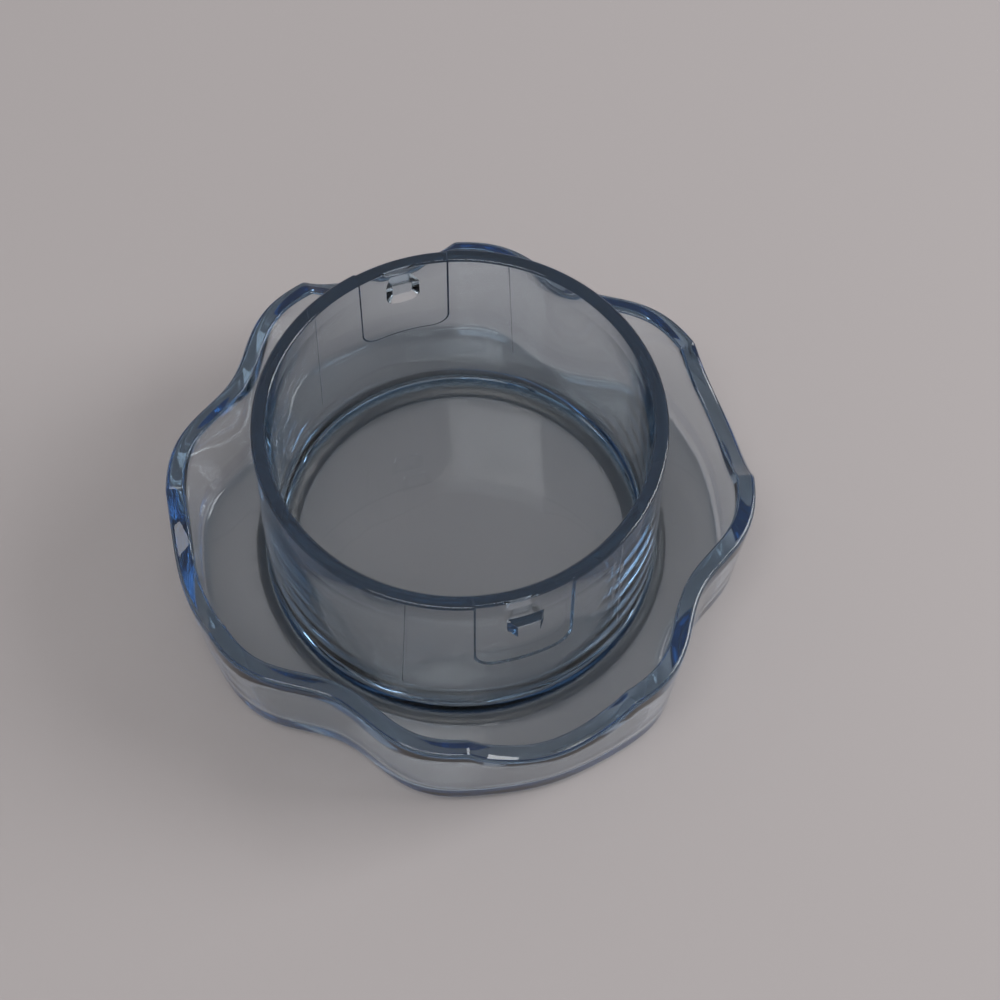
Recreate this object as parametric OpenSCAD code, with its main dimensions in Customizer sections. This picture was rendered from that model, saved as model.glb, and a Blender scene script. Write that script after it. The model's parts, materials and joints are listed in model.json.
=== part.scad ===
// Filler cap for a blender lid: a clear, one-piece moulding.
// A round collar with a closed floor stands in a wavy, four-lobed grip flange.
// It is drawn as it rests on a table: closed face down, mouth of the collar up.
// Origin: centre of the closed face. The two lock nubs lie on the Y axis.

/* [Collar] */
// Outside diameter of the collar at its mouth
mouth_d = 50; // [46:0.5:53]
// Wall of the collar at its mouth
collar_wall = 1.8; // [1.2:0.1:2.6]
// Height of the mouth above the closed face
collar_top = 31.6; // [27:0.2:40]
// Straight stretch under the mouth, before the collar begins to widen
collar_land = 4.2; // [2:0.1:12]
// Draft of the collar's outside below that stretch, in degrees
collar_draft = 1; // [0:0.1:2]
// Rounding of the two edges of the mouth
mouth_round = 0.35; // [0.1:0.05:0.6]
// Fillet outside the foot of the collar
foot_out_r = 1.4; // [0.6:0.1:2]
// Fillet inside the foot of the collar
foot_in_r = 1.8; // [0.6:0.1:4]

/* [Floor] */
// Thickness of the closed face
floor_t = 2.2; // [1.2:0.1:4]

/* [Grip flange] */
// Mean outside diameter of the flange at its rim
flange_d = 72.2; // [70:0.1:90]
// Height of the rim above the closed face
rim_h = 16.75; // [13:0.25:24]
// Wall of the flange
flange_wall = 2.3; // [1.4:0.1:2.8]
// Draft of the flange's wall, in degrees
flange_draft = 3.5; // [0:0.1:6]
// Number of grip lobes round the flange
lobes = 4; // [3:1:5]
// How far the lobes and valleys swing about the mean radius
lobe_swing = 1.54; // [0:0.01:1.8]
// How much the middle of each lobe is flattened
lobe_flat = 0.89; // [0:0.01:1.2]
// How tightly the corners of each lobe turn
lobe_corner = 0.34; // [0:0.01:0.4]
// Rounding between the wall and the closed face
base_round = 2; // [0.6:0.1:3]
// Fillet between the floor and the inside of the wall
dish_round = 1; // [0.4:0.1:1.4]
// Rounding of the rim's outer edge
rim_out_r = 0.55; // [0.2:0.05:0.8]
// Rounding of the rim's inner edge
rim_in_r = 0.3; // [0.1:0.05:0.5]

/* [Finger scoops] */
// Width of the scoop in the rim of each lobe
scoop_w = 21; // [12:0.5:24]
// Depth of the scoop below the rim
scoop_depth = 4.75; // [1:0.25:7]

/* [Lock nubs] */
// Drop from the mouth to the flat top of a nub
nub_drop = 4.5; // [4.3:0.1:9]
// Height of a nub at the wall
nub_h = 7.6; // [5:0.1:9]
// Height of its flat outer face
nub_face_h = 3.8; // [1.5:0.1:4.5]
// Width of a nub at the wall
nub_w = 4.7; // [3:0.1:8]
// Width of its flat outer face
nub_face_w = 3; // [1.4:0.1:3]
// How far a nub stands out of the collar
nub_out = 0.9; // [0.4:0.05:1.6]
// Rounding of its lower corners
nub_corner = 1.2; // [0.5:0.1:1.4]
// Rounding of its other edges
nub_edge = 0.25; // [0.1:0.05:0.4]

/* [Smoothness] */
// Steps round each finger scoop
scoop_steps = 24; // [12:2:32]
// Steps round the full-height rim between two scoops
valley_steps = 30; // [16:2:40]
// Steps in each quarter turn of a fillet on the collar
fillet_steps = 6; // [3:1:10]

/* [Hidden] */
plastic = [0.62, 0.72, 0.86, 0.45];
mouth_r = mouth_d / 2;
bore_r = mouth_r - collar_wall;
land_z = collar_top - collar_land;
foot_r = mouth_r + (land_z - floor_t - foot_out_r) * tan(collar_draft);
root_z = floor_t / 2;
sector = 360 / lobes;
corner_r = outline_r(sector / 4);
scoop_half_angle = asin(scoop_w / 2 / corner_r);
scoop_r = (pow(scoop_w / 2, 2) + pow(scoop_depth, 2)) / (2 * scoop_depth);
nub_root = 0.6;

// Outside radius of the collar at a height
function collar_r(z) = mouth_r + max(0, land_z - z) * tan(collar_draft);

// Points along an arc round a centre
function arc(centre, r, from, to, steps) =
    [for (i = [0:steps]) centre + r * [cos(from + (to - from) * i / steps), sin(from + (to - from) * i / steps)]];

// Outside radius of the flange at its rim, as a wave round the axis
function outline_r(a) =
    flange_d / 2 + lobe_swing * cos(lobes * a) - lobe_flat * cos(2 * lobes * a) + lobe_corner * cos(3 * lobes * a);

// How fast that radius changes, for each radian round the axis
function outline_slope(a) =
    lobes * (2 * lobe_flat * sin(2 * lobes * a) - lobe_swing * sin(lobes * a) - 3 * lobe_corner * sin(3 * lobes * a));

// Unit vector square to the outline, pointing out of it
function outline_normal(a) =
    let (r = outline_r(a), s = outline_slope(a))
    [r * cos(a) + s * sin(a), r * sin(a) - s * cos(a)] / norm([r, s]);

// Drop of the rim at an angle measured from the middle of the nearest lobe
function scoop_dip(a) =
    let (x = corner_r * sin(a))
    abs(a) < scoop_half_angle ? sqrt(pow(scoop_r, 2) - x * x) - scoop_r + scoop_depth : 0;

// How far the drafted wall stands inside the rim's outline at a height
function draft_inset(z) = (rim_h - z) * tan(flange_draft);

// A point of the wall's section, as [distance inside the outline, height]
function wall_point(z, inset, rise) = [draft_inset(z) + inset, z + rise];

// A corner of the wall's section, turned with a radius from one angle to another
function wall_corner(z, inset, r, from, to, steps) =
    [for (p = arc([inset, 0], r, from, to, steps)) wall_point(z, p[0], p[1])];

// Section of the flange's wall where the rim is at a height, from the closed face up and down to the floor
function wall_section(top) = concat(
    wall_corner(base_round, base_round, base_round, 270, 180, 3),
    wall_corner(top - rim_out_r, rim_out_r, rim_out_r, 180, 90, 2),
    wall_corner(top - rim_in_r, flange_wall - rim_in_r, rim_in_r, 90, 0, 1),
    wall_corner(floor_t + dish_round, flange_wall + dish_round, dish_round, 180, 270, 2)
);

// Angles of the sections, measured from the middle of the first lobe, with one at each end of every scoop
lobe_angles = concat(
    [for (i = [0:scoop_steps - 1]) scoop_half_angle * (2 * i / scoop_steps - 1)],
    [for (i = [0:valley_steps - 1]) scoop_half_angle + (sector - 2 * scoop_half_angle) * i / valley_steps]
);

// One section of the flange in space
function section_at(a, lobe_angle) =
    let (from_lobe = a > sector / 2 ? a - sector : a, turned = a + lobe_angle)
    let (rim_point = outline_r(turned) * [cos(turned), sin(turned)], out = outline_normal(turned))
    [for (p = wall_section(rim_h - scoop_dip(from_lobe))) concat(rim_point - p[0] * out, p[1])];

// Dish of the flange: its wavy wall and the closed face, lofted through the sections
module flange() {
    sections = [for (k = [0:lobes - 1]) each [for (a = lobe_angles) section_at(a, k * sector)]];
    n = len(sections);
    m = len(sections[0]);
    under = [for (i = [0:n - 1]) i * m];
    over = [for (i = [n - 1:-1:0]) i * m + m - 1];
    skin = [for (i = [0:n - 1]) for (j = [0:m - 2])
        let (p = i * m + j, q = (i + 1) % n * m + j)
        each [[p, p + 1, q + 1], [p, q + 1, q]]];
    polyhedron([for (s = sections) each s], concat([under, over], skin), convexity = 8);
}

// Half section of the collar, with a fillet on each side of its foot and a rounded mouth
module collar_section() {
    polygon(concat(
        [[bore_r - foot_in_r, root_z]],
        arc([bore_r - foot_in_r, floor_t + foot_in_r], foot_in_r, -90, 0, fillet_steps),
        arc([bore_r + mouth_round, collar_top - mouth_round], mouth_round, 180, 90, fillet_steps),
        arc([mouth_r - mouth_round, collar_top - mouth_round], mouth_round, 90, 0, fillet_steps),
        [[mouth_r, land_z]],
        arc([foot_r + foot_out_r, floor_t + foot_out_r], foot_out_r, 180, 270, fillet_steps),
        [[foot_r + foot_out_r, root_z]]
    ));
}

// Collar that enters the lid's filler hole
module collar() {
    rotate_extrude($fn = 144) collar_section();
}

// Lock nub: flat on top, ramped below, with bevelled sides, standing out along X
module nub() {
    top_z = collar_top - nub_drop;
    wall_r = collar_r(top_z - nub_h / 2);
    hull() {
        for (side = [-1, 1]) {
            translate([wall_r - nub_root, side * (nub_w / 2 - nub_edge), top_z - nub_edge])
                rotate([0, 90, 0]) cylinder(r = nub_edge, h = nub_root, $fn = 16);
            translate([wall_r - nub_root, side * (nub_w / 2 - nub_corner), top_z - nub_h + nub_corner])
                rotate([0, 90, 0]) cylinder(r = nub_corner, h = nub_root, $fn = 32);
            translate([wall_r + nub_out - nub_edge, side * (nub_face_w / 2 - nub_edge), top_z - nub_edge])
                sphere(r = nub_edge, $fn = 16);
            translate([wall_r + nub_out - nub_edge, side * (nub_face_w / 2 - nub_edge), top_z - nub_face_h + nub_edge])
                sphere(r = nub_edge, $fn = 16);
        }
    }
}

// The whole cap, moulded as one piece
module lid_plug() {
    color(plastic) union() {
        flange();
        collar();
        for (a = [-90, 90]) rotate([0, 0, a]) nub();
    }
}

lid_plug();
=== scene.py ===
"""Looks of a clear blue filler cap for a blender lid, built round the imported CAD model.

Sizes are in millimetres unless a name says otherwise, and become metres where a mesh is made.
Heights are measured up from the closed face, angles round the collar's axis from the X axis.
"""

import json
import math

import bpy
import numpy as np
from mathutils import Matrix, Vector
from mathutils.geometry import delaunay_2d_cdt


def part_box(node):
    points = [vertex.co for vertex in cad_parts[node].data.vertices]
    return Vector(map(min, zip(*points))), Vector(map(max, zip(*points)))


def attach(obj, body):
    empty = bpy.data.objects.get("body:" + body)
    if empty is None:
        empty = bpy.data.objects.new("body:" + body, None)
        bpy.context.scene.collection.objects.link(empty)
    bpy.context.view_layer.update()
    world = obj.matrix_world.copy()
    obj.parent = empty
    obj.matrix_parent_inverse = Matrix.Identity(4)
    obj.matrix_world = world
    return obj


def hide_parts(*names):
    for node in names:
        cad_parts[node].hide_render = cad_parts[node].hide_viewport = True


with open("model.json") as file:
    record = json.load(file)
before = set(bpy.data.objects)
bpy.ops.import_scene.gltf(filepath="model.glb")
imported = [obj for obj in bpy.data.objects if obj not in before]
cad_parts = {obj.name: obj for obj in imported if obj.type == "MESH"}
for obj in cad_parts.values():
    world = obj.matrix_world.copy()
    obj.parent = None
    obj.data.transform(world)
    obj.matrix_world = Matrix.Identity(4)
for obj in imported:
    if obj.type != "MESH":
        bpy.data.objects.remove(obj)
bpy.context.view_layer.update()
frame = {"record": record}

MM = 0.001
NODE = "lid_plug"

# Sizes that the frame gives
mounts = {m["name"]: m for m in frame["record"]["mounts"]}
MOUTH_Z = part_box(NODE)[1][2] / MM
MOUTH_R = mounts["lid_hole_collar"]["dims"]["r_mm"]
RIM_Z = mounts["rim_seat"]["pos_m"][2] / MM

# Collar
COLLAR_WALL = 1.8
LAND = 4.2
COLLAR_DRAFT = math.radians(1.0)
MOUTH_ROUND = 0.35
FOOT_OUT_R = 1.4
FOOT_IN_R = 1.8
FLOOR_T = 2.2

# Grip flange: its outline is a wave round the axis
MEAN_R = 36.1
LOBES = 4
LOBE_SWING = 1.54
LOBE_FLAT = 0.89
LOBE_CORNER = 0.34
FLANGE_WALL = 2.3
FLANGE_DRAFT = math.radians(3.5)
BASE_ROUND = 2.0
DISH_ROUND = 1.0
RIM_OUT_R = 0.55
RIM_IN_R = 0.3

# Finger scoops in the rim
SCOOP_W = 21.0
SCOOP_DEPTH = 4.75
SCOOP_END_ROUND = 0.35

# Lock nubs, in the middle of a window that the mould leaves round each of them
NUB_ANGLES = (-90.0, 90.0)
NUB_DROP = 4.5
NUB_H = 3.8
NUB_FACE_H = 2.8
NUB_W = 4.6
NUB_FACE_W = 2.7
NUB_OUT = 1.0
NUB_CORNER = 1.5
NUB_EDGE = 0.12
WINDOW_W = 12.2
WINDOW_H = 15.2
WINDOW_CORNER = 2.5
WINDOW_DEPTH = 0.2
STEP_W = 0.3
STEP_LINES = 6

# Mould lines down the collar, as angles from a nub's middle at the mouth and at their lower end
MOULD_LINES = ((-32.4, -34.5, 22.0), (30.8, 31.9, 22.0))
MOULD_LINE_W = 0.09
MOULD_LINE_OUT = 0.03

# Fineness of the mesh
COLUMNS = 720
FILLET_STEPS = 8

LAND_Z = MOUTH_Z - LAND
BORE_R = MOUTH_R - COLLAR_WALL
FOOT_R = MOUTH_R + (LAND_Z - FLOOR_T - FOOT_OUT_R) * math.tan(COLLAR_DRAFT)
BAND_LOW = 9.0
BAND_HIGH = MOUTH_Z - MOUTH_ROUND
STEP_OFFSETS = [STEP_W * (i / STEP_LINES - 0.5) for i in range(STEP_LINES + 1)]


def collar_r(z):
    """Outside radius of the plain collar at a height."""
    return MOUTH_R + np.maximum(0.0, LAND_Z - z) * math.tan(COLLAR_DRAFT)


def outline(a):
    """Radius of the flange's outline at its rim, and how fast it changes with the angle."""
    n = LOBES
    r = MEAN_R + LOBE_SWING * np.cos(n * a) - LOBE_FLAT * np.cos(2 * n * a) + LOBE_CORNER * np.cos(3 * n * a)
    slope = n * (2 * LOBE_FLAT * np.sin(2 * n * a) - LOBE_SWING * np.sin(n * a)
                 - 3 * LOBE_CORNER * np.sin(3 * n * a))
    return r, slope


def soft_max(a, b, k):
    """The larger of two values, with the corner between them rounded over k."""
    h = np.clip(0.5 + 0.5 * (a - b) / k, 0.0, 1.0)
    return b + (a - b) * h + k * h * (1.0 - h)


def soft_min(a, b, k):
    """The smaller of two values, with the corner between them rounded over k."""
    return -soft_max(-a, -b, k)


def scoop_dip(a):
    """Drop of the rim at each angle: an arc in the middle of each lobe, level between the lobes."""
    sector = 2 * math.pi / LOBES
    local = (a + sector / 2) % sector - sector / 2
    half = SCOOP_W / 2
    radius = (half ** 2 + SCOOP_DEPTH ** 2) / (2 * SCOOP_DEPTH)
    x = np.abs(outline(a)[0] * np.sin(local))
    arc = np.sqrt(np.maximum(radius ** 2 - np.minimum(x, half) ** 2, 0.0)) - radius + SCOOP_DEPTH
    end_slope = half / (radius - SCOOP_DEPTH)
    dip = np.where(x < half, arc, -end_slope * (x - half))
    return soft_max(dip, np.zeros_like(dip), SCOOP_END_ROUND)


def arc_points(cx, cy, r, start, end, steps):
    """Points along an arc, its angles in degrees."""
    return [(cx + r * math.cos(t), cy + r * math.sin(t))
            for t in np.radians(np.linspace(start, end, steps + 1))]


class Skin:
    """A mesh that grows ring by ring, and remembers which faces take the frosted finish."""

    def __init__(self):
        self.points = []
        self.faces = []
        self.frosted = []
        self.radial = []

    def add(self, points):
        """Add points and give their numbers."""
        first = len(self.points)
        self.points.extend(map(tuple, points))
        return list(range(first, len(self.points)))

    def band(self, low, high, frosted=False):
        """Join two closed rings of the same count, the skin facing right of the way from low to high."""
        n = len(low)
        for i in range(n):
            j = (i + 1) % n
            self.faces.append((low[i], low[j], high[j], high[i]))
            self.frosted.append(frosted)
            self.radial.append(False)

    def face(self, ids, frosted=False, radial=False):
        """Add one face."""
        self.faces.append(tuple(ids))
        self.frosted.append(frosted)
        self.radial.append(radial)


def window_edge_angles():
    """Columns laid along both edges of each window's step, in radians."""
    out = []
    for middle in NUB_ANGLES:
        for side in (-1, 1):
            for offset in STEP_OFFSETS:
                out.append(math.radians(middle) + side * (WINDOW_W / 2 + offset) / MOUTH_R)
    return out


def column_angles():
    """Even columns round the axis, with more along the windows' edges."""
    even = np.linspace(0.0, 2 * math.pi, COLUMNS, endpoint=False)
    extra = np.array(window_edge_angles()) % (2 * math.pi)
    apart = 2 * math.pi / COLUMNS * 0.3
    kept = [a for a in even if np.min(np.abs(extra - a)) > apart]
    return np.sort(np.concatenate([kept, extra]))


def flange_rings(angles):
    """Rings of the flange from under the closed face, up its wall, over the rim and down to the floor."""
    r, slope = outline(angles)
    rim = np.stack([r * np.cos(angles), r * np.sin(angles)], axis=1)
    size = np.sqrt(r ** 2 + slope ** 2)
    out = np.stack([r * np.cos(angles) + slope * np.sin(angles),
                    r * np.sin(angles) - slope * np.cos(angles)], axis=1) / size[:, None]
    top = RIM_Z - scoop_dip(angles)
    base = np.full_like(top, BASE_ROUND)
    dish = np.full_like(top, FLOOR_T + DISH_ROUND)

    def ring(z, inset, rise):
        """A ring that stands inset from the drafted outer face at height z, and rise above it."""
        d = (RIM_Z - z) * math.tan(FLANGE_DRAFT) + inset
        return np.column_stack([rim - out * d[:, None], z + rise])

    def corner(z, inset, radius, start, end, steps):
        return [ring(z, x, y) for x, y in arc_points(inset, 0.0, radius, start, end, steps)]

    def wall(low, high, inset, steps):
        return [ring(low + (high - low) * i / steps, inset, 0.0) for i in range(1, steps)]

    rings = corner(base, BASE_ROUND, BASE_ROUND, 270, 180, FILLET_STEPS)
    rings += wall(base, top - RIM_OUT_R, 0.0, 4)
    rings += corner(top - RIM_OUT_R, RIM_OUT_R, RIM_OUT_R, 180, 90, FILLET_STEPS)
    rings += corner(top - RIM_IN_R, FLANGE_WALL - RIM_IN_R, RIM_IN_R, 90, 0, 4)
    rings += wall(top - RIM_IN_R, dish, FLANGE_WALL, 4)
    rings += corner(dish, FLANGE_WALL + DISH_ROUND, DISH_ROUND, 180, 270, FILLET_STEPS)
    return rings


def round_ring(angles, radius, z):
    """A round ring about the axis, its radius one number or one for each angle."""
    radius = np.broadcast_to(radius, angles.shape)
    return np.column_stack([radius * np.cos(angles), radius * np.sin(angles), np.full_like(angles, z)])


def from_middle(angles, middle):
    """Distance round the collar from a nub's middle, for each angle."""
    return ((angles - math.radians(middle) + math.pi) % (2 * math.pi) - math.pi) * MOUTH_R


def window_side(u, drop):
    """How far a point lies inside a window's edge, less than nothing outside it."""
    half, low = WINDOW_W / 2, WINDOW_H
    dx = np.abs(u) - (half - WINDOW_CORNER)
    dy = drop - (low - WINDOW_CORNER)
    outside = np.hypot(np.maximum(dx, 0.0), np.maximum(dy, 0.0))
    return WINDOW_CORNER - outside - np.minimum(np.maximum(dx, dy), 0.0)


def nub_height(u, drop):
    """How far the nub stands out at each point, before its root is cut by the window's floor."""
    down = drop - NUB_DROP
    half, face_half = NUB_W / 2, NUB_FACE_W / 2
    out = NUB_OUT + WINDOW_DEPTH
    side_slope = out / (half - face_half)
    ramp_slope = out / (NUB_H - NUB_FACE_H)
    dx = np.abs(u) - (half - NUB_CORNER)
    dy = (down - (NUB_H - NUB_CORNER * side_slope / ramp_slope)) * ramp_slope / side_slope
    outside = np.hypot(np.maximum(dx, 0.0), np.maximum(dy, 0.0))
    inside = NUB_CORNER - outside - np.minimum(np.maximum(dx, dy), 0.0)
    height = soft_min(inside * side_slope, np.full_like(u, out), NUB_EDGE)
    return np.where(down >= 0.0, np.maximum(height, 0.0), 0.0)


def mould_line_height(u, drop):
    """Height of the fine mould lines that run down the collar on each side of a nub."""
    height = np.zeros_like(u)
    for at_mouth, at_end, length in MOULD_LINES:
        middle = np.radians(at_mouth + (at_end - at_mouth) * drop / length) * MOUTH_R
        ridge = np.clip(1.0 - np.abs(u - middle) / MOULD_LINE_W, 0.0, 1.0)
        height += np.where(drop < length, ridge * MOULD_LINE_OUT, 0.0)
    return height


def surface_step(angles, z):
    """How far the real collar stands out of the plain one at each point."""
    drop = MOUTH_Z - z
    height = np.zeros_like(angles)
    for middle in NUB_ANGLES:
        u = from_middle(angles, middle)
        inside = np.clip(window_side(u, drop) / STEP_W + 0.5, 0.0, 1.0)
        inside = inside * inside * (3.0 - 2.0 * inside)
        height += nub_height(u, drop) - WINDOW_DEPTH * inside + mould_line_height(u, drop)
    return height


def grid(us, drops):
    """Every pairing of places round the collar and drops below its mouth."""
    return [(u, d) for u in us for d in drops]


def feature_points():
    """Points and edges that draw the windows, nubs and mould lines on the unrolled collar."""
    points, edges = [], []

    def path(line):
        first = len(points)
        points.extend(line)
        edges.extend((first + i, first + i + 1) for i in range(len(line) - 1))

    top = MOUTH_Z - BAND_HIGH
    for middle in NUB_ANGLES:
        u0 = math.radians(middle) % (2 * math.pi) * MOUTH_R
        for offset in STEP_OFFSETS:
            half, low, corner = WINDOW_W / 2 + offset, WINDOW_H + offset, WINDOW_CORNER + offset
            side = list(np.linspace(top, low - corner, 40))
            line = [(u0 - half, d) for d in side[:-1]]
            line += [(u0 + x, y) for x, y in arc_points(corner - half, low - corner, corner, 180, 90, 16)]
            line += [(u0 + x, low) for x in np.linspace(corner - half, half - corner, 26)[1:-1]]
            line += [(u0 + x, y) for x, y in arc_points(half - corner, low - corner, corner, 90, 0, 16)]
            line += [(u0 + half, d) for d in side[:-1][::-1]]
            path(line)
        for drop in (NUB_DROP - 0.012, NUB_DROP + 0.012):
            path([(u0 + x, drop) for x in np.linspace(-NUB_W / 2, NUB_W / 2, 48)])
        for at_mouth, at_end, length in MOULD_LINES:
            for offset in (-MOULD_LINE_W, 0.0, MOULD_LINE_W):
                path([(u0 + math.radians(at_mouth + (at_end - at_mouth) * d / length) * MOUTH_R + offset, d)
                      for d in np.linspace(top + 0.05, length, 40)])
    return points, edges


def unrolled_band(skin, angles, low, high):
    """Outside of the collar between two rings, triangulated so that every fine edge has its own line."""
    around = 2 * math.pi * MOUTH_R
    top, bottom = MOUTH_Z - BAND_HIGH, MOUTH_Z - BAND_LOW
    features, edges = feature_points()
    marks = np.array(features)
    points = list(features)

    ring_u = list(angles * MOUTH_R) + [around]
    high_first = len(points)
    points += [(u, top) for u in ring_u]
    low_first = len(points)
    points += [(u, bottom) for u in ring_u]
    n = len(ring_u)
    for first in (high_first, low_first):
        edges += [(first + i, first + i + 1) for i in range(n - 1)]
    side_drops = np.linspace(top, bottom, 24)
    for u, ends in ((0.0, (high_first, low_first)), (around, (high_first + n - 1, low_first + n - 1))):
        first = len(points)
        points += [(u, d) for d in side_drops[1:-1]]
        chain = [ends[0]] + list(range(first, len(points))) + [ends[1]]
        edges += list(zip(chain[:-1], chain[1:]))

    loose = grid(np.linspace(0.0, around, 361)[1:-1], side_drops[1:-1])
    for middle in NUB_ANGLES:
        u0 = math.radians(middle) % (2 * math.pi) * MOUTH_R
        half = NUB_W / 2 + 0.15
        loose = [p for p in loose
                 if not (abs(p[0] - u0) < half and NUB_DROP - 0.1 < p[1] < NUB_DROP + NUB_H + 0.2)]
        loose += grid(u0 + np.linspace(-half, half, 60), np.linspace(NUB_DROP + 0.1, NUB_DROP + NUB_H + 0.2, 52))
    for p in loose:
        if np.min(np.abs(marks[:, 0] - p[0]) + np.abs(marks[:, 1] - p[1])) > 0.06:
            points.append(p)

    made, _, faces, sources, _, _ = delaunay_2d_cdt([Vector(p) for p in points], edges, [], 0, 1e-6)
    flat = np.array([(p.x, p.y) for p in made])
    theta = flat[:, 0] / MOUTH_R
    z = MOUTH_Z - flat[:, 1]
    step = surface_step(theta, z)
    radius = collar_r(z) + step
    ids = skin.add(np.column_stack([radius * np.cos(theta), radius * np.sin(theta), z]))

    seam = {}
    for i, source in enumerate(sources):
        for s in source:
            if high_first <= s < high_first + n:
                seam[i] = high[(s - high_first) % (n - 1)]
            elif low_first <= s < low_first + n:
                seam[i] = low[(s - low_first) % (n - 1)]
    right = {}
    for i in range(len(made)):
        if flat[i, 0] < 1e-6:
            right[round(flat[i, 1], 4)] = ids[i]
    for i in range(len(made)):
        if flat[i, 0] > around - 1e-6 and i not in seam:
            seam[i] = right[round(flat[i, 1], 4)]
    for f in faces:
        plain = np.ptp(step[list(f)]) < 1e-6
        a, b, c = (flat[i] for i in f)
        turn = (b[0] - a[0]) * (c[1] - a[1]) - (b[1] - a[1]) * (c[0] - a[0])
        order = f if turn < 0 else f[::-1]
        skin.face([seam.get(i, ids[i]) for i in order], radial=plain)


def build_cap():
    """The whole moulding as one closed mesh."""
    skin = Skin()
    angles = column_angles()

    flange = [skin.add(r) for r in flange_rings(angles)]
    skin.face(flange[0][::-1])
    for low, high in zip(flange[:-1], flange[1:]):
        skin.band(low, high)

    foot_edge = FOOT_R + FOOT_OUT_R
    outer = np.array([skin.points[i] for i in flange[-1]])
    foot = round_ring(angles, foot_edge, FLOOR_T)
    last = flange[-1]
    for share in (0.4, 0.8):
        ring = skin.add(outer * (1 - share) + foot * share)
        skin.band(last, ring)
        last = ring
    for r, z in arc_points(foot_edge, FLOOR_T + FOOT_OUT_R, FOOT_OUT_R, 270, 180, FILLET_STEPS):
        ring = skin.add(round_ring(angles, r, z))
        skin.band(last, ring, frosted=z > FLOOR_T + 1e-6)
        last = ring
    for z in (6.0, BAND_LOW):
        ring = skin.add(round_ring(angles, collar_r(z), z))
        skin.band(last, ring)
        last = ring

    step = surface_step(angles, np.full_like(angles, BAND_HIGH))
    mouth = [(MOUTH_R - MOUTH_ROUND + x, y, step)
             for x, y in arc_points(0.0, BAND_HIGH, MOUTH_ROUND, 0, 90, 6)]
    mouth += [(BORE_R + MOUTH_ROUND + x, y, 0.0)
              for x, y in arc_points(0.0, BAND_HIGH, MOUTH_ROUND, 90, 180, 6)]
    rings = [skin.add(round_ring(angles, r + s, z)) for r, z, s in mouth]
    unrolled_band(skin, angles, last, rings[0])
    for z in np.linspace(BAND_HIGH, FLOOR_T + FOOT_IN_R, 5)[1:-1]:
        rings.append(skin.add(round_ring(angles, BORE_R, z)))
    for low, high in zip(rings[:-1], rings[1:]):
        skin.band(low, high)
    last = rings[-1]
    for r, z in arc_points(BORE_R - FOOT_IN_R, FLOOR_T + FOOT_IN_R, FOOT_IN_R, 0, -90, FILLET_STEPS):
        ring = skin.add(round_ring(angles, r, z))
        skin.band(last, ring, frosted=z < FLOOR_T + FOOT_IN_R - 1e-6)
        last = ring
    skin.face(last)
    return skin


def mesh_object(name, skin, materials):
    """Turn a skin into an object in metres, with smooth shading that breaks at sharp edges."""
    mesh = bpy.data.meshes.new(name)
    mesh.from_pydata([(x * MM, y * MM, z * MM) for x, y, z in skin.points], [], skin.faces)
    for material in materials:
        mesh.materials.append(material)
    mesh.polygons.foreach_set("material_index", [int(f) for f in skin.frosted])
    mesh.polygons.foreach_set("use_smooth", [True] * len(skin.faces))
    mesh.update()
    mesh.set_sharp_from_angle(angle=math.radians(24))
    lean = math.tan(COLLAR_DRAFT)
    normals = [(0.0, 0.0, 0.0)] * len(mesh.loops)
    for polygon, radial in zip(mesh.polygons, skin.radial):
        if radial:
            for k in polygon.loop_indices:
                co = mesh.vertices[mesh.loops[k].vertex_index].co
                tilt = lean if polygon.center.z < LAND_Z * MM else 0.0
                normals[k] = Vector((co.x, co.y, co.xy.length * tilt)).normalized()
    mesh.normals_split_custom_set(normals)
    obj = bpy.data.objects.new(name, mesh)
    bpy.context.scene.collection.objects.link(obj)
    return obj


def new_material(name):
    """A material with an empty node tree and its output."""
    material = bpy.data.materials.new(name)
    material.use_nodes = True
    tree = material.node_tree
    tree.nodes.clear()
    return material, tree, tree.nodes.new("ShaderNodeOutputMaterial")


# Clear plastic
TINT = (0.17, 0.45, 0.67, 1.0)
TINT_DENSITY = 60.0
PLASTIC_IOR = 1.55


def clear_plastic(name, roughness, bump_scale, bump_strength, bump_distance):
    """Clear tinted plastic: glass-like, tinted through its depth, with a faint unevenness of its skin."""
    material, tree, output = new_material(name)
    nodes, links = tree.nodes, tree.links
    shader = nodes.new("ShaderNodeBsdfPrincipled")
    shader.inputs["Base Color"].default_value = (1.0, 1.0, 1.0, 1.0)
    shader.inputs["Transmission Weight"].default_value = 1.0
    shader.inputs["Roughness"].default_value = roughness
    shader.inputs["IOR"].default_value = PLASTIC_IOR
    coords = nodes.new("ShaderNodeTexCoord")
    noise = nodes.new("ShaderNodeTexNoise")
    noise.inputs["Scale"].default_value = bump_scale
    noise.inputs["Detail"].default_value = 3.0
    bump = nodes.new("ShaderNodeBump")
    bump.inputs["Strength"].default_value = bump_strength
    bump.inputs["Distance"].default_value = bump_distance
    links.new(coords.outputs["Object"], noise.inputs["Vector"])
    links.new(noise.outputs["Fac"], bump.inputs["Height"])
    links.new(bump.outputs["Normal"], shader.inputs["Normal"])
    links.new(shader.outputs["BSDF"], output.inputs["Surface"])
    depth = nodes.new("ShaderNodeVolumeAbsorption")
    depth.inputs["Color"].default_value = TINT
    depth.inputs["Density"].default_value = TINT_DENSITY
    links.new(depth.outputs["Volume"], output.inputs["Volume"])
    return material


# Stage
FLOOR_COLOUR = (0.445, 0.413, 0.413, 1.0)
FLOOR_GAP = 0.05
FLOOR_HALF = 1500.0


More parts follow.
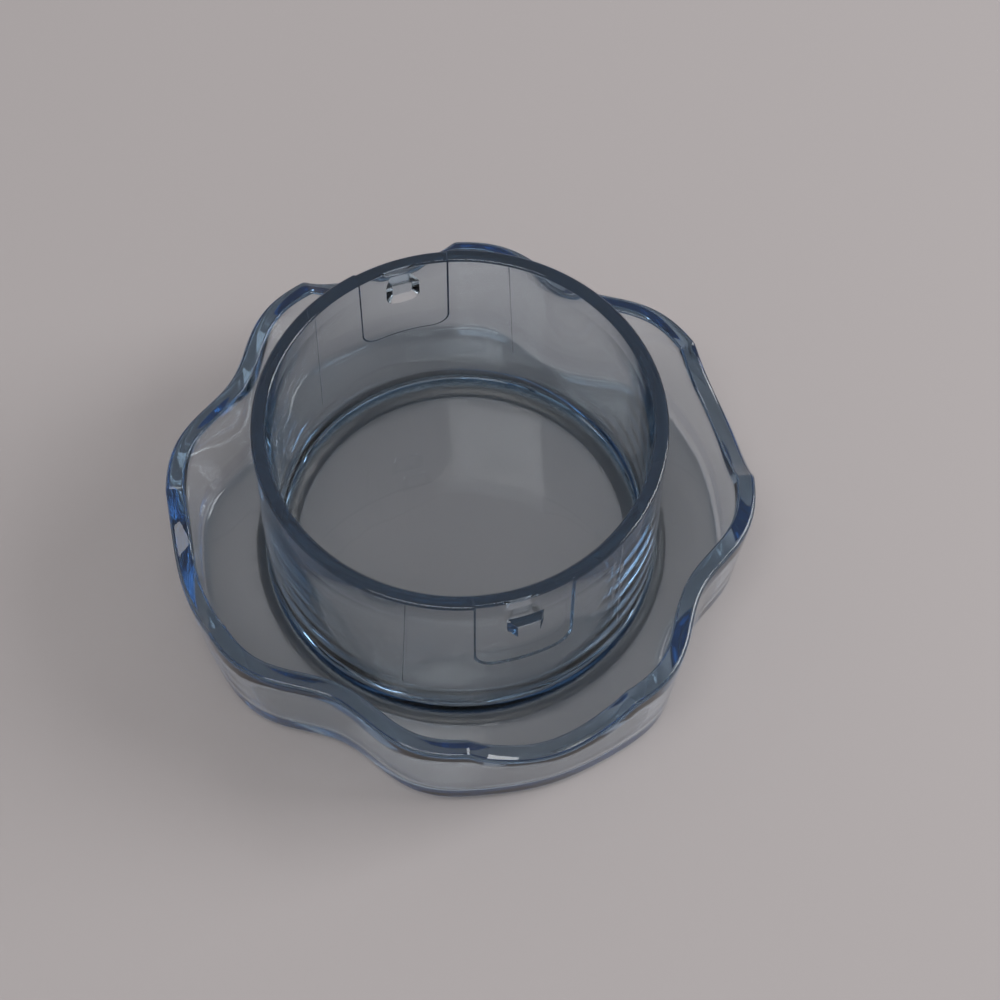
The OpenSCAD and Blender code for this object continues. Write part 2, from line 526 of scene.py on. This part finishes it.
def stage_material():
    """Matt, pale table top."""
    material, tree, output = new_material("table_top")
    nodes, links = tree.nodes, tree.links
    shader = nodes.new("ShaderNodeBsdfPrincipled")
    shader.inputs["Base Color"].default_value = FLOOR_COLOUR
    shader.inputs["Roughness"].default_value = 0.7
    shader.inputs["Specular IOR Level"].default_value = 0.2
    links.new(shader.outputs["BSDF"], output.inputs["Surface"])
    return material


def build_stage():
    """The table that the cap stands on."""
    size = FLOOR_HALF * MM
    z = -FLOOR_GAP * MM
    mesh = bpy.data.meshes.new("table")
    mesh.from_pydata([(-size, -size, z), (size, -size, z), (size, size, z), (-size, size, z)], [], [(0, 1, 2, 3)])
    mesh.materials.append(stage_material())
    table = bpy.data.objects.new("table", mesh)
    bpy.context.scene.collection.objects.link(table)


# Camera, in a frame whose X runs to the picture's right and whose Y runs away from the viewer
VIEW_TURN = math.radians(-19.413)
VIEW_ELEVATION = math.radians(61.176)
VIEW_ROLL = math.radians(1.229)
VIEW_DISTANCE = 252.14
VIEW_RIGHT = 4.752
VIEW_DOWN = 9.479
FOCAL_PIXELS = 2115.2
PICTURE_PIXELS = 1000
SENSOR = 36.0


def from_view(x, y, z):
    """Turn a direction or place given to the right of, away from and above the viewer into the frame's."""
    return Matrix.Rotation(VIEW_TURN, 3, "Z") @ Vector((x, y, z))


def build_camera():
    """Camera at the photograph's angle, distance and lens."""
    right = from_view(1.0, 0.0, 0.0)
    down = from_view(0.0, -math.sin(VIEW_ELEVATION), -math.cos(VIEW_ELEVATION))
    ahead = from_view(0.0, math.cos(VIEW_ELEVATION), -math.sin(VIEW_ELEVATION))
    c, s = math.cos(VIEW_ROLL), math.sin(VIEW_ROLL)
    right, down = right * c - down * s, right * s + down * c
    aim = Vector((0.0, 0.0, MOUTH_Z)) + right * VIEW_RIGHT + down * VIEW_DOWN
    place = (aim - ahead * VIEW_DISTANCE) * MM
    data = bpy.data.cameras.new("camera")
    data.sensor_width = SENSOR
    data.lens = FOCAL_PIXELS / PICTURE_PIXELS * SENSOR
    data.clip_start = 0.01
    camera = bpy.data.objects.new("camera", data)
    turn = Matrix((right, -down, -ahead)).transposed()
    camera.matrix_world = Matrix.Translation(place) @ turn.to_4x4()
    bpy.context.scene.collection.objects.link(camera)
    bpy.context.scene.camera = camera


def area_light(name, place, size, power, colour=(1.0, 1.0, 1.0)):
    """A soft square light at a place given from the viewer, in metres, aimed at the cap."""
    data = bpy.data.lights.new(name, "AREA")
    data.shape = "RECTANGLE"
    data.size, data.size_y = size
    data.energy = power
    data.color = colour
    light = bpy.data.objects.new(name, data)
    spot = from_view(*place)
    light.matrix_world = Matrix.Translation(spot) @ spot.to_track_quat("Z", "Y").to_matrix().to_4x4()
    bpy.context.scene.collection.objects.link(light)


WORLD_COLOUR = (1.0, 0.985, 0.985, 1.0)
WORLD_STRENGTH = 0.4


def build_light():
    """Soft room light, with a window to the right and a lamp overhead."""
    world = bpy.data.worlds.new("room")
    world.use_nodes = True
    background = world.node_tree.nodes["Background"]
    background.inputs["Color"].default_value = WORLD_COLOUR
    background.inputs["Strength"].default_value = WORLD_STRENGTH
    bpy.context.scene.world = world
    area_light("window", (0.75, 0.15, 0.5), (0.5, 0.5), 5.0)
    area_light("lamp", (-0.15, -0.35, 1.2), (0.6, 0.6), 4.0)


def render_settings():
    """Plain colours, and enough bounces for light that runs along inside the walls."""
    scene = bpy.context.scene
    scene.view_settings.view_transform = "Standard"
    scene.cycles.max_bounces = 32
    scene.cycles.transmission_bounces = 32
    scene.cycles.glossy_bounces = 16
    scene.cycles.transparent_max_bounces = 32


def main():
    """Build everything, in the order camera, cap, stage, light."""
    build_camera()
    clear = clear_plastic("clear_blue_plastic", 0.0, 90.0, 0.06, 0.0004)
    frosted = clear_plastic("frosted_fillet", 0.25, 2600.0, 0.6, 0.0002)
    cap = mesh_object("cap", build_cap(), (clear, frosted))
    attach(cap, "root")
    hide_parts(NODE)
    build_stage()
    build_light()
    render_settings()


main()
